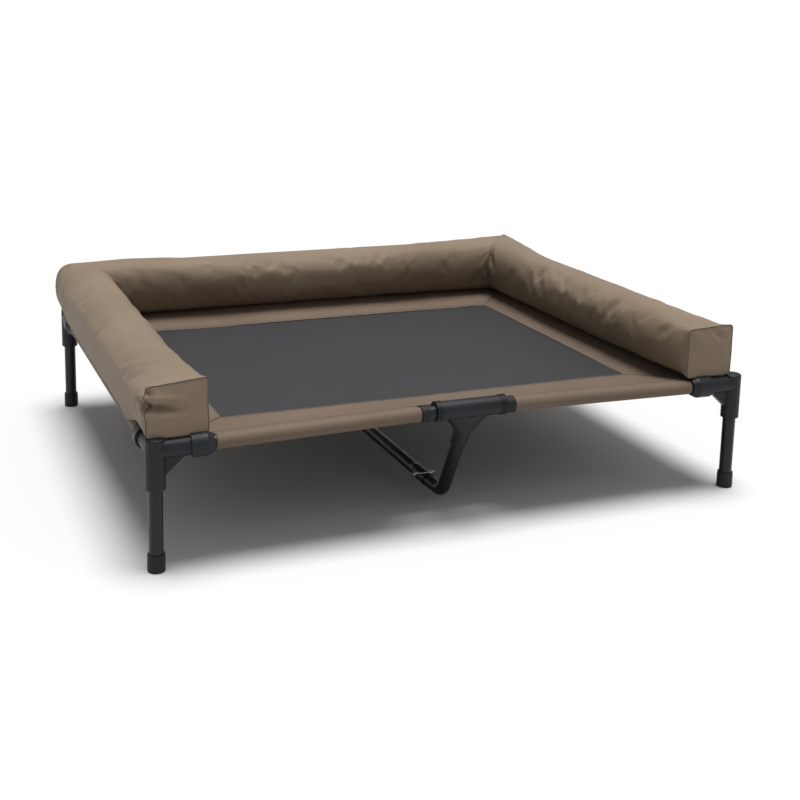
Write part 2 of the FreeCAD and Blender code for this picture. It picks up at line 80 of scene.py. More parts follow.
class Recipe:
    """A node tree under construction: one material with its shader."""

    def __init__(self, name: str) -> None:
        """Starts an empty material with a Principled shader.

        Args:
            name: the material's name.
        """
        self.material = bpy.data.materials.new(name)
        self.material.use_nodes = True
        self.tree = self.material.node_tree
        self.shader = self.tree.nodes["Principled BSDF"]

    def add(self, kind: str, **settings: object) -> bpy.types.Node:
        """Adds a node.

        Args:
            kind: the node's type name, without the common first part.
            **settings: attributes of the node, or socket names with values or sockets.

        Returns:
            The new node.
        """
        node = self.tree.nodes.new("ShaderNode" + kind)
        for key, value in settings.items():
            if hasattr(node, key) and key not in node.inputs:
                setattr(node, key, value)
            else:
                self.feed(node.inputs[key], value)
        return node

    def feed(self, socket: bpy.types.NodeSocket, value: object) -> None:
        """Gives a socket a value or a link.

        Args:
            socket: the input socket.
            value: a number, a tuple or an output socket.
        """
        if isinstance(value, bpy.types.NodeSocket):
            self.tree.links.new(value, socket)
        else:
            socket.default_value = value

    def math(self, operation: str, first: object, second: object = 0.0) -> bpy.types.NodeSocket:
        """A Math node's result.

        Args:
            operation: the operation's name.
            first: the first value or socket.
            second: the second value or socket.

        Returns:
            The output socket.
        """
        node = self.tree.nodes.new("ShaderNodeMath")
        node.operation = operation
        self.feed(node.inputs[0], first)
        self.feed(node.inputs[1], second)
        return node.outputs[0]

    def noise(self, scale: float, detail: float = 3.0, stretch: tuple = (1, 1, 1)) -> bpy.types.NodeSocket:
        """Noise on Object coordinates.

        Args:
            scale: patches per metre.
            detail: octaves.
            stretch: a factor on each axis.

        Returns:
            The noise value's socket.
        """
        place = self.add("TexCoord")
        mapping = self.add("Mapping", Vector=place.outputs["Object"], Scale=stretch)
        node = self.add("TexNoise", Vector=mapping.outputs[0], Scale=scale, Detail=detail)
        return node.outputs["Fac"]

    def threads(self, pitch: float) -> list[bpy.types.NodeSocket]:
        """Waves across the warp and the weft, on the cloth's own UV.

        Args:
            pitch: the distance from one thread to the next, in metres.

        Returns:
            The sockets of the two waves.
        """
        uv = self.add("UVMap", uv_map="cloth")
        split = self.add("SeparateXYZ", Vector=uv.outputs[0])
        turn = math.pi / pitch
        return [self.math("SINE", self.math("MULTIPLY", split.outputs[axis], turn)) for axis in (0, 1)]

    def blend(self, low: object, high: tuple, amount: bpy.types.NodeSocket) -> bpy.types.NodeSocket:
        """A mix of two colours.

        Args:
            low: the colour at 0, or its socket.
            high: the colour at 1.
            amount: the socket that says how much.

        Returns:
            The colour socket.
        """
        node = self.tree.nodes.new("ShaderNodeMix")
        node.data_type = "RGBA"
        self.feed(node.inputs["Factor"], amount)
        self.feed(node.inputs["A"], low if isinstance(low, bpy.types.NodeSocket) else (*low, 1))
        self.feed(node.inputs["B"], (*high, 1))
        return node.outputs["Result"]

    def span(
        self, value: bpy.types.NodeSocket, low: float, high: float, to: tuple = (0.0, 1.0)
    ) -> bpy.types.NodeSocket:
        """A value spread from one range to another, clamped.

        Args:
            value: the socket to spread.
            low: the value that becomes the first of to.
            high: the value that becomes the second of to.
            to: the new range.

        Returns:
            The output socket.
        """
        node = self.add("MapRange", Value=value)
        for name, number in (("From Min", low), ("From Max", high), ("To Min", to[0]), ("To Max", to[1])):
            node.inputs[name].default_value = number
        return node.outputs["Result"]

    def bump(self, height: bpy.types.NodeSocket, strength: float, distance: float) -> None:
        """Adds a bump to the shader, on top of any that is there.

        Args:
            height: the height's socket.
            strength: from 0 to 1.
            distance: the depth of a full height, in metres.
        """
        node = self.add("Bump", Strength=strength, Distance=distance, Height=height)
        normal = self.shader.inputs["Normal"]
        if normal.is_linked:
            self.tree.links.new(normal.links[0].from_socket, node.inputs["Normal"])
        self.tree.links.new(node.outputs[0], normal)

    def surface(self, **sockets: object) -> None:
        """Sets inputs of the shader.

        Args:
            **sockets: input names, with underscores for spaces, and their values.
        """
        for name, value in sockets.items():
            self.feed(self.shader.inputs[name.replace("_", " ")], value)


@dataclass(frozen=True)
class CoatedFabric:
    """Taupe plain weave with a thin coating inside and a soft sheen outside."""

    name: str = "coated_fabric"
    dark: tuple = (0.149, 0.110, 0.076)
    light: tuple = (0.210, 0.159, 0.112)
    thread: float = 0.0008
    roughness: float = 0.62

    def make(self) -> bpy.types.Material:
        """Builds the material."""
        recipe = Recipe(self.name)
        weave = recipe.math("MULTIPLY", *recipe.threads(self.thread))
        cloud = recipe.span(recipe.noise(5.0, 4.0), 0.3, 0.7)
        slub = recipe.noise(420.0, 2.0, (1.0, 0.35, 1.0))
        tone = recipe.math("ADD", recipe.math("MULTIPLY", cloud, 0.45), recipe.math("MULTIPLY", slub, 0.45))
        # painted shade: the fold attribute darkens the fabric colour inside each pressed crease
        crease_shade = recipe.add("Attribute", attribute_name="fold")
        colour = recipe.blend(self.dark, self.light, tone)
        colour = recipe.blend(colour, tuple(part * 0.42 for part in self.dark), crease_shade.outputs["Fac"])
        recipe.surface(Base_Color=colour, Roughness=self.roughness, Sheen_Weight=0.03, Sheen_Roughness=0.45)
        recipe.surface(Sheen_Tint=(0.95, 0.86, 0.76, 1.0), Specular_IOR_Level=0.18)
        recipe.bump(weave, 0.35, 0.00012)
        recipe.bump(recipe.noise(55.0, 3.0), 0.30, 0.0011)
        recipe.bump(recipe.noise(14.0, 2.0), 0.25, 0.0030)
        return recipe.material


@dataclass(frozen=True)
class WovenMesh:
    """Charcoal open mesh: thick coated yarns, with painted shade in the small holes between them."""

    name: str = "woven_mesh"
    yarn: tuple = (0.024, 0.0245, 0.027)
    hole_shade: tuple = (0.006, 0.006, 0.007)
    pitch: float = 0.0022

    def make(self) -> bpy.types.Material:
        """Builds the material."""
        recipe = Recipe(self.name)
        warp, weft = (recipe.math("ABSOLUTE", wave) for wave in recipe.threads(self.pitch))
        yarn = recipe.span(recipe.math("MAXIMUM", warp, weft), 0.45, 0.75)
        over = recipe.math("MULTIPLY", warp, weft)
        cloud = recipe.span(recipe.noise(4.0, 3.0), 0.35, 0.7, (0.85, 1.0))
        # painted shade: the holes are not cut through, and their near black colour stands for the dark seen
        # through them
        colour = recipe.blend(self.hole_shade, self.yarn, recipe.math("MULTIPLY", yarn, cloud))
        recipe.surface(Base_Color=colour, Roughness=0.58, Sheen_Weight=0.06, Sheen_Roughness=0.4)
        recipe.surface(Specular_IOR_Level=0.30)
        recipe.bump(recipe.math("ADD", yarn, recipe.math("MULTIPLY", over, 0.4)), 0.5, 0.0003)
        return recipe.material


@dataclass(frozen=True)
class Moulded:
    """Moulded plastic or rubber: fine spark grain, slow tone changes and rubbed edges."""

    name: str
    colour: tuple
    roughness: float = 0.46
    grain: float = 1500.0
    depth: float = 0.00005

    def make(self) -> bpy.types.Material:
        """Builds the material."""
        recipe = Recipe(self.name)
        cloud = recipe.span(recipe.noise(18.0, 4.0), 0.3, 0.7)
        scuff = recipe.span(recipe.noise(160.0, 5.0, (1.0, 1.0, 0.25)), 0.62, 0.80)
        pale = tuple(part * 1.30 + 0.002 for part in self.colour)
        rubbed = tuple(part * 1.9 + 0.006 for part in self.colour)
        colour = recipe.blend(self.colour, pale, cloud)
        colour = recipe.blend(colour, rubbed, recipe.math("MULTIPLY", scuff, 0.35))
        rough = recipe.span(cloud, 0.0, 1.0, (self.roughness - 0.05, self.roughness + 0.07))
        recipe.surface(Base_Color=colour, Roughness=rough, Specular_IOR_Level=0.28)
        recipe.bump(recipe.noise(self.grain, 2.0), 0.45, self.depth)
        return recipe.material


@dataclass(frozen=True)
class PowderCoat:
    """Black powder coat on tube, with a slight orange peel."""

    name: str = "powder_coat"
    colour: tuple = (0.0042, 0.0044, 0.0052)
    roughness: float = 0.36

    def make(self) -> bpy.types.Material:
        """Builds the material."""
        recipe = Recipe(self.name)
        cloud = recipe.span(recipe.noise(30.0, 3.0), 0.3, 0.7)
        pale = tuple(part * 1.5 + 0.0005 for part in self.colour)
        rough = recipe.span(cloud, 0.0, 1.0, (self.roughness - 0.04, self.roughness + 0.06))
        recipe.surface(Base_Color=recipe.blend(self.colour, pale, cloud), Roughness=rough)
        recipe.surface(Coat_Weight=0.06, Coat_Roughness=0.25, Specular_IOR_Level=0.30)
        recipe.bump(recipe.noise(650.0, 2.0), 0.35, 0.00008)
        return recipe.material


@dataclass(frozen=True)
class PlatedWire:
    """Zinc plated steel wire, drawn lengthwise."""

    name: str = "plated_wire"
    colour: tuple = (0.78, 0.79, 0.80)
    roughness: float = 0.24

    def make(self) -> bpy.types.Material:
        """Builds the material."""
        recipe = Recipe(self.name)
        streak = recipe.noise(900.0, 3.0, (1.0, 0.08, 0.3))
        dull = tuple(part * 0.72 for part in self.colour)
        recipe.surface(Base_Color=recipe.blend(dull, self.colour, recipe.span(streak, 0.3, 0.6)))
        recipe.surface(Metallic=1.0, Roughness=recipe.span(streak, 0.2, 0.8, (self.roughness, 0.42)))
        recipe.bump(streak, 0.2, 0.00003)
        return recipe.material


@dataclass(frozen=True)
class Thread:
    """Twisted sewing thread."""

    name: str
    colour: tuple

    def make(self) -> bpy.types.Material:
        """Builds the material."""
        recipe = Recipe(self.name)
        twist = recipe.noise(1600.0, 2.0)
        dark = tuple(part * 0.6 for part in self.colour)
        recipe.surface(Base_Color=recipe.blend(dark, self.colour, twist), Roughness=0.6, Sheen_Weight=0.3)
        recipe.bump(twist, 0.5, 0.0001)
        return recipe.material


@dataclass(frozen=True)
class Tape:
    """Black hook and loop tape with a fuzzy face."""

    name: str = "hook_loop_tape"

    def make(self) -> bpy.types.Material:
        """Builds the material."""
        recipe = Recipe(self.name)
        fuzz = recipe.noise(1100.0, 4.0)
        recipe.surface(Base_Color=recipe.blend((0.008, 0.008, 0.009), (0.035, 0.035, 0.037), fuzz))
        recipe.surface(Roughness=0.85, Sheen_Weight=0.5, Sheen_Roughness=0.5)
        recipe.bump(fuzz, 0.8, 0.0006)
        return recipe.material


class Finishes:
    """All finishes of the bed, made once."""

    def __init__(self) -> None:
        """Makes every material."""
        self.fabric = CoatedFabric().make()
        self.border = CoatedFabric("border_fabric", (0.100, 0.071, 0.051), (0.142, 0.103, 0.075)).make()
        self.mesh = WovenMesh().make()
        self.plastic = Moulded("moulded_plastic", (0.0060, 0.0067, 0.0090)).make()
        self.foot = Moulded("foot_plastic", (0.0062, 0.0067, 0.0082), 0.52).make()
        self.rubber = Moulded("ring_rubber", (0.0048, 0.0050, 0.0056), 0.62, 900.0, 0.0001).make()
        self.coat = PowderCoat().make()
        self.wire = PlatedWire().make()
        # the end seam's cord gets this dark brown as painted shade along the seam line
        self.thread = Thread("seam_shade_thread", (0.040, 0.029, 0.021)).make()
        self.dark_thread = Thread("dark_thread", (0.020, 0.018, 0.017)).make()
        self.tape = Tape().make()


def to_object(sketch: bmesh.types.BMesh, name: str, material: bpy.types.Material) -> bpy.types.Object:
    """Turns a finished bmesh into a smooth shaded piece in the scene.

    Args:
        sketch: the bmesh, which is freed.
        name: the piece's name.
        material: its finish.

    Returns:
        The new object, at the origin.
    """
    mesh = bpy.data.meshes.new(name)
    for face in sketch.faces:
        face.smooth = True
    sketch.to_mesh(mesh)
    sketch.free()
    mesh.materials.append(material)
    piece = bpy.data.objects.new(name, mesh)
    bpy.context.scene.collection.objects.link(piece)
    return piece


def cut_lines(sketch: bmesh.types.BMesh, axis: int, cuts: int) -> None:
    """Divides the edges that run along one axis.

    Args:
        sketch: the bmesh, a box with square faces.
        axis: the axis, 0 to 2.
        cuts: how many cuts each edge gets.
    """
    edges = []
    for edge in sketch.edges:
        span = edge.verts[1].co - edge.verts[0].co
        if abs(span[axis]) > 1e-6 and abs(span[axis - 1]) < 1e-6 and abs(span[axis - 2]) < 1e-6:
            edges.append(edge)
    bmesh.ops.subdivide_edges(sketch, edges=edges, cuts=cuts, use_grid_fill=True)


def smooth_step(value: float, low: float, high: float) -> float:
    """A soft step from 0 at low to 1 at high."""
    share = min(max((value - low) / (high - low), 0.0), 1.0)
    return share * share * (3 - 2 * share)


def apply_modifiers(piece: bpy.types.Object) -> None:
    """Replaces a piece's mesh by the mesh its modifiers give.

    Args:
        piece: the object.
    """
    graph = bpy.context.evaluated_depsgraph_get()
    mesh = bpy.data.meshes.new_from_object(piece.evaluated_get(graph))
    old = piece.data
    piece.modifiers.clear()
    piece.data = mesh
    bpy.data.meshes.remove(old)


def thicken(piece: bpy.types.Object, thickness: float) -> None:
    """Gives a sheet its thickness, below the face that was drawn.

    Args:
        piece: the sheet.
        thickness: its thickness in metres.
    """
    thick = piece.modifiers.new("thickness", "SOLIDIFY")
    thick.thickness = thickness
    thick.offset = -1.0
    apply_modifiers(piece)


def stitches(name: str, rows: list[list[Vector]], material: bpy.types.Material) -> bpy.types.Object:
    """Rows of sewn stitches along paths, as short slim threads.

    Args:
        name: the piece's name.
        rows: each row's path, a list of points.
        material: the thread's finish.

    Returns:
        One object with every stitch.
    """
    pitch, share, radius = 0.0055, 0.66, 0.00045
    sketch = bmesh.new()
    for row in rows:
        carry = 0.0
        for start, end in zip(row, row[1:]):
            span = end - start
            if span.length < 1e-7:
                continue
            way = span.normalized()
            turn = way.to_track_quat("Z", "Y").to_matrix().to_4x4()
            place = carry
            while place < span.length:
                middle = Matrix.Translation(start + way * place)
                bmesh.ops.create_cone(
                    sketch, cap_ends=True, segments=5, radius1=radius, radius2=radius,
                    depth=pitch * share, matrix=middle @ turn,
                )
                place += pitch
            carry = place - span.length
    return to_object(sketch, name, material)


def ribbon(name: str, path: list[Vector], radius: float, material: bpy.types.Material) -> bpy.types.Object:
    """A slim rounded band round a closed path, such as a seam's raised edge.

    Args:
        name: the piece's name.
        path: the points it follows.
        radius: half its width.
        material: its finish.

    Returns:
        The new object.
    """
    curve = bpy.data.curves.new(name, "CURVE")
    curve.dimensions = "3D"
    spline = curve.splines.new("POLY")
    spline.points.add(len(path) - 1)
    for point, place in zip(spline.points, path):
        point.co = (*place, 1.0)
    spline.use_cyclic_u = True
    curve.bevel_depth = radius
    curve.bevel_resolution = 2
    shape = bpy.data.objects.new(name + "_line", curve)
    bpy.context.scene.collection.objects.link(shape)
    graph = bpy.context.evaluated_depsgraph_get()
    mesh = bpy.data.meshes.new_from_object(shape.evaluated_get(graph))
    bpy.data.objects.remove(shape)
    for polygon in mesh.polygons:
        polygon.use_smooth = True
    mesh.materials.clear()
    mesh.materials.append(material)
    piece = bpy.data.objects.new(name, mesh)
    bpy.context.scene.collection.objects.link(piece)
    return piece


@dataclass
class Crease:
    """A fold pressed into a cushion along a line, with painted shade darkening the fabric in it."""

    start: tuple
    end: tuple
    depth: float
    width: float
    # dark sets how strongly the fold's painted shade darkens the fabric colour
    dark: float = 0.5

    def press(self, point: Vector) -> tuple[float, float]:
        """How deep the fold is at a point and how dark its painted shade is there.

        Args:
            point: the place on the cushion.

        Returns:
            The depth in metres and the darkness of the painted shade from 0 to 1.
        """
        start, end = Vector(self.start), Vector(self.end)
        span = end - start
        share = min(max((point - start).dot(span) / span.length_squared, 0.0), 1.0)
        gap = (point - start - span * share).length / self.width
        taper = math.sin(math.pi * min(max(share, 0.04), 0.96)) ** 0.5
        fall = math.exp(-gap * gap) * taper
        ridge = math.exp(-((gap - 1.9) ** 2) * 1.6) * 0.28 * taper
        return self.depth * (fall - ridge), self.dark * fall ** 2.5


@dataclass
class Seat:
    """The outside of everything that the bolsters rest on, as one searchable surface."""

    tree: BVHTree
    gap: float = 0.0006
    above: float = 0.300
    nearby: float = 0.004

    @classmethod
    def under(cls, pieces: list[bpy.types.Object]) -> "Seat":
        """Gathers the faces of the pieces that carry the bolsters.

        Args:
            pieces: the rails, connectors, tapes and borders, at rest.

        Returns:
            The seat.
        """
        graph = bpy.context.evaluated_depsgraph_get()
        points: list[Vector] = []
        faces: list[list[int]] = []
        for piece in pieces:
            mesh = piece.evaluated_get(graph).data
            first = len(points)
            points += [piece.matrix_world @ vert.co for vert in mesh.vertices]
            faces += [[first + index for index in polygon.vertices] for polygon in mesh.polygons]
        return cls(BVHTree.FromPolygons(points, faces))

    def clear(self, point: Vector) -> Vector:
        """Moves a point of a bolster's underside off whatever it would sink into.

        Args:
            point: the place on the cover.

        Returns:
            The place on or above the seat.
        """
        start = Vector((point.x, point.y, self.above))
        spot = self.tree.ray_cast(start, Vector((0.0, 0.0, -1.0)))[0]
        if spot is not None and point.z < spot.z + self.gap:
            point = Vector((point.x, point.y, spot.z + self.gap))
        near, normal, _, distance = self.tree.find_nearest(point, self.nearby)
        if near is None or distance >= self.gap:
            return point
        return near + normal * self.gap


def outer_share(across: float) -> float:
    """How far out a place across a bolster is, from 0 over its inner half to 1 at its outer side."""
    return smooth_step(-across, 0.10, 0.95)


@dataclass
class Bolster:
    """One stuffed bolster: a box grid, rounded, blown up as cloth and seated on the rails."""

    name: str
    node: str
    side: Side
    finishes: Finishes
    seat: Seat
    left: float = -0.6010
    right: float = 0.5745
    front: float = -0.4720
    back: float = 0.4830
    width: float = 0.102
    low_end: float = 0.2368
    low_run: float = 0.2225
    high_end: float = 0.3360
    high_run: float = 0.3495
    end_square: float = 20.0
    mitre_left: tuple = (3.3, 0.0, 0.010, 0.130)
    mitre_right: tuple = (6.5, 0.005, 0.004, 0.280)
    end_tilt: float = 0.0
    end_spread: float = 0.0
    run_square: float = 2.7
    skirt_square: float = 7.0
    skirt_drop: float = 0.0045
    skirt_lean: float = 0.0045
    cell: float = 0.0064
    arch: float = 0.0035
    arch_top: float = 2.2
    ripple: float = 0.0011
    swell_limit: float = 0.009
    blow_frames: int = 18
    under: float = 0.262
    creases: list[Crease] = field(default_factory=list)

    @property
    def along_x(self) -> bool:
        """Whether the bolster runs along X."""
        return self.side is Side.BACK

    @property
    def length(self) -> float:
        """The length of the bolster's outer edge."""
        return self.right - self.left if self.along_x else self.back - self.front

    def mitre(self, along: float) -> tuple[float, float, float, float]:
        """How near a mitred corner is and how full the cover is there.

        Args:
            along: the distance from the front end, or from the left corner.

        Returns:
            A share from 0 to 1, then the corner's squareness, lift and outward bulge.
        """
        past = self.length - along
        corner = self.mitre_left if self.side is Side.LEFT else self.mitre_right
        if self.along_x and along < past:
            past, corner = along, self.mitre_left
        square, lift, bulge, reach = corner
        return 1 - smooth_step(past, 0.0, reach), square, lift, bulge

    def levels(self, along: float, across: float) -> tuple[float, float]:
        """The lowest and highest level at a distance along the bolster.

        Args:
            along: the distance from the front end, or from the left corner.
            across: the place across it, from -1 at the outer side to 1 at the inner side.

        Returns:
            The levels in metres.
        """
        outer = outer_share(across)
        near, _, lift, _ = self.mitre(along)
        high = self.high_run + lift * near * outer
        if self.along_x:
            rise = self.arch * (1 - near)
            low = self.low_run + rise - self.skirt_drop * outer * 0.4 * (1 - near)
            return low, high + rise * self.arch_top
        inner_settle = smooth_step(along, 0.0, 0.340)
        outer_settle = smooth_step(along, 0.085, 0.170)
        settle = inner_settle + (outer_settle - inner_settle) * outer
        low = self.low_end + (self.low_run - self.low_end) * settle
        low -= self.skirt_drop * outer * outer_settle * (1 - near)
        end = self.high_end - self.end_tilt * (1 - across) / 2
        return low, end + (high - end) * smooth_step(along, 0.0, 0.30)

    def power(self, along: float, outer: bool, upper: bool) -> float:
        """How square a quarter of the section is: 2 is an ellipse, and 20 nearly a box.

        Args:
            along: the distance from the front end, or from the left corner.
            outer: whether the quarter is on the outer side.
            upper: whether the quarter is in the upper half.

        Returns:
            The exponent of the quarter's curve.
        """
        run = self.run_square
        near, square, _, _ = self.mitre(along)
        if outer:
            run = self.run_square + 0.3 if upper else self.skirt_square
            run += (square - run) * near
        if self.along_x:
            return run
        soften = 0.50 * smooth_step(along, 0.0, 0.030) + 0.50 * smooth_step(along, 0.010, 0.300)
        return self.end_square * (run / self.end_square) ** soften

    def shape_point(self, grid: Vector) -> Vector:
        """Where a point of the box grid lies on the rounded bolster.

        Args:
            grid: the point in the unit box: from the outer to the inner side, along and up.

        Returns:
            The place in the frame's axes.
        """
        share = (grid.y + 1) / 2
        power = self.power(share * self.length, grid.x < 0, grid.z > 0)
        ring = max(abs(grid.x), abs(grid.z))
        spread = (abs(grid.x) ** power + abs(grid.z) ** power) ** (1 / power) if ring > 0 else 1.0
        across, upward = grid.x * ring / spread, grid.z * ring / spread
        outer = outer_share(across)
        low, high = self.levels(share * self.length, across)
        middle = (self.low_run + self.high_run) / 2
        level = middle + upward * (high - middle if upward > 0 else middle - low)
        near, _, _, bulge = self.mitre(share * self.length)
        lean = 0.0 if self.along_x else smooth_step(share * self.length, 0.06, 0.16) * (1 - near)
        outward = self.skirt_lean * lean * max(-upward, 0.0) ** 2 + bulge * near * (1 - upward ** 2)
        inward = self.end_spread * (1 - smooth_step(share * self.length, 0.0, 0.20)) * max(across, 0.0)
        depth = self.width / 2 * (1 + across) - outward * outer + inward
        if self.along_x:
            start = self.left + depth
            end = self.right - depth
            return Vector((start + share * (end - start), self.back - depth, level))
        end = self.back - depth
        edge = self.left + depth if self.side is Side.LEFT else self.right - depth
        return Vector((edge, self.front + share * (end - self.front), level))

    def grid_box(self) -> bmesh.types.BMesh:
        """A unit box with square cells, ready to be shaped."""
        sketch = bmesh.new()
        bmesh.ops.create_cube(sketch, size=2.0)
        cell = self.cell * 1.0
        cut_lines(sketch, 1, round(self.length / cell))
        cut_lines(sketch, 0, round(self.width / cell))
        cut_lines(sketch, 2, round((self.high_run - self.low_run) / cell))
        return sketch

    def cover(self) -> bpy.types.Object:
        """Builds the shaped cover, before it is blown up.

        Returns:
            The object, with a pin group on its sewn edges and its cloth UVs.
        """
        sketch = self.grid_box()
        uv = sketch.loops.layers.uv.new("cloth")
        rim_mark = sketch.verts.layers.float.new("rim")
        crease_mark = sketch.edges.layers.float.new("crease_edge")
        rest = {vert: vert.co.copy() for vert in sketch.verts}
        sketch.verts.index_update()
        weights = {}
        for vert, corner in rest.items():
            rim = max(abs(corner.x), abs(corner.z)) > EDGE
            capped = abs(corner.y) > EDGE
            mitred = capped and (self.along_x or corner.y > 0)
            if mitred:
                weights[vert.index] = 1.0
            elif capped and rim:
                weights[vert.index] = 0.97
                vert[rim_mark] = 1.0
            elif corner.z < -EDGE:
                weights[vert.index] = 0.6
            vert.co = self.shape_point(corner)
        for face in sketch.faces:
            middle = sum((rest[vert] for vert in face.verts), Vector()) / len(face.verts)
            capped = abs(middle.y) > EDGE
            upright = abs(middle.x) > EDGE
            for loop in face.loops:
                place = loop.vert.co
                along, across = (place.x, place.y) if self.along_x else (place.y, place.x)
                loop[uv].uv = (across, place.z) if capped else (place.z if upright else across, along)
        for edge in sketch.edges:
            ends = [rest[vert] for vert in edge.verts]
            if all(abs(end.y) > EDGE and max(abs(end.x), abs(end.z)) > EDGE for end in ends):
                mitred = self.along_x or ends[0].y > 0
                edge[crease_mark] = 1.0 if mitred else 0.75
                edge.smooth = not mitred
        if sketch.calc_volume(signed=True) < 0:
            bmesh.ops.reverse_faces(sketch, faces=sketch.faces)
        piece = to_object(sketch, self.name, self.finishes.fabric)
        group = piece.vertex_groups.new(name="sewn")
        for index, weight in weights.items():
            group.add([index], weight, "REPLACE")
        return piece

    def inflate(self, piece: bpy.types.Object) -> None:
        """Blows the cover up as cloth, pinned at its seams, and keeps the result.

        Args:
            piece: the shaped cover.
        """
        before = [vert.co.copy() for vert in piece.data.vertices]
        for vert in piece.data.vertices:
            ripple = noise.noise(vert.co * 17.0) + 0.35 * noise.noise(vert.co * 48.0)
            vert.co += vert.normal * ripple * self.ripple
        cloth = piece.modifiers.new("cloth", "CLOTH")
        settings = cloth.settings
        settings.quality = 6
        settings.mass = 0.25
        settings.tension_stiffness = 18
        settings.compression_stiffness = 18
        settings.shear_stiffness = 6
        settings.bending_stiffness = 1.6
        settings.tension_damping = 8
        settings.compression_damping = 8
        settings.use_pressure = True
        settings.uniform_pressure_force = 4.0
        settings.shrink_min = -0.006
        settings.shrink_max = -0.006
        settings.vertex_group_mass = "sewn"
        settings.effector_weights.gravity = 0.0
        cloth.collision_settings.use_collision = False
        scene = bpy.context.scene
        for number in range(1, self.blow_frames + 1):
            scene.frame_set(number)
        graph = bpy.context.evaluated_depsgraph_get()
        mesh = bpy.data.meshes.new_from_object(piece.evaluated_get(graph))
        after = [vert.co.copy() for vert in mesh.vertices]
        bpy.data.meshes.remove(mesh)
        piece.modifiers.clear()
        scene.frame_set(1)
        for vert, old, new in zip(piece.data.vertices, before, after):
            move = new - old
            if move.length > self.swell_limit:
                move *= self.swell_limit / move.length
            vert.co = old + move

    def settle(self, piece: bpy.types.Object) -> None:
        """Presses the folds in, stores their painted shade in the fold attribute, and lays the underside on
        what carries it.

        Args:
            piece: the blown up cover, as fine as it will be.
        """
        mesh = piece.data
        fold = mesh.attributes.new("fold", "FLOAT", "POINT")
        normals = [vert.normal.copy() for vert in mesh.vertices]
        for vert, normal in zip(mesh.vertices, normals):
            dark = 0.0
            for crease in self.creases:
                depth, shade = crease.press(vert.co)
                vert.co -= normal * depth
                dark = max(dark, shade)
            # painted shade of the creases, which darkens the fabric colour
            fold.data[vert.index].value = dark
            if vert.co.z < self.under:
                vert.co = self.seat.clear(vert.co)

    def end_seam(self, piece: bpy.types.Object) -> bpy.types.Object:
        """The raised edge of the seam round the front end panel, coloured dark as painted shade along the
        seam.

        Args:
            piece: the finished cover.

        Returns:
            The seam's cord.
        """
        marks = piece.data.attributes["rim"].data
        rim = [vert.co.copy() for vert in piece.data.vertices if marks[vert.index].value > 0.98]
        middle = sum(rim, Vector()) / len(rim)
        rim.sort(key=lambda point: math.atan2(point.z - middle.z, point.x - middle.x))
        # the cord's dark thread colour is painted shade of the seam's shadow line
        return ribbon(self.name + "_end_seam", rim, 0.0009, self.finishes.thread)

    def build(self) -> list[bpy.types.Object]:
        """Makes the bolster and its seams.

        Returns:
            The pieces made, the cover first.
        """
        piece = self.cover()
        self.inflate(piece)
        divide = piece.modifiers.new("divide", "SUBSURF")
        divide.levels = divide.render_levels = 1
        apply_modifiers(piece)
        self.settle(piece)
        for polygon in piece.data.polygons:
            polygon.use_smooth = True
        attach(piece, Body.BOLSTERS.value)
        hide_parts(self.node)
        made = [piece]
        if not self.along_x:
            seam = self.end_seam(piece)
            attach(seam, Body.BOLSTERS.value)
            made.append(seam)
        log.info("%s: %d vertices", self.name, len(piece.data.vertices))
        return made


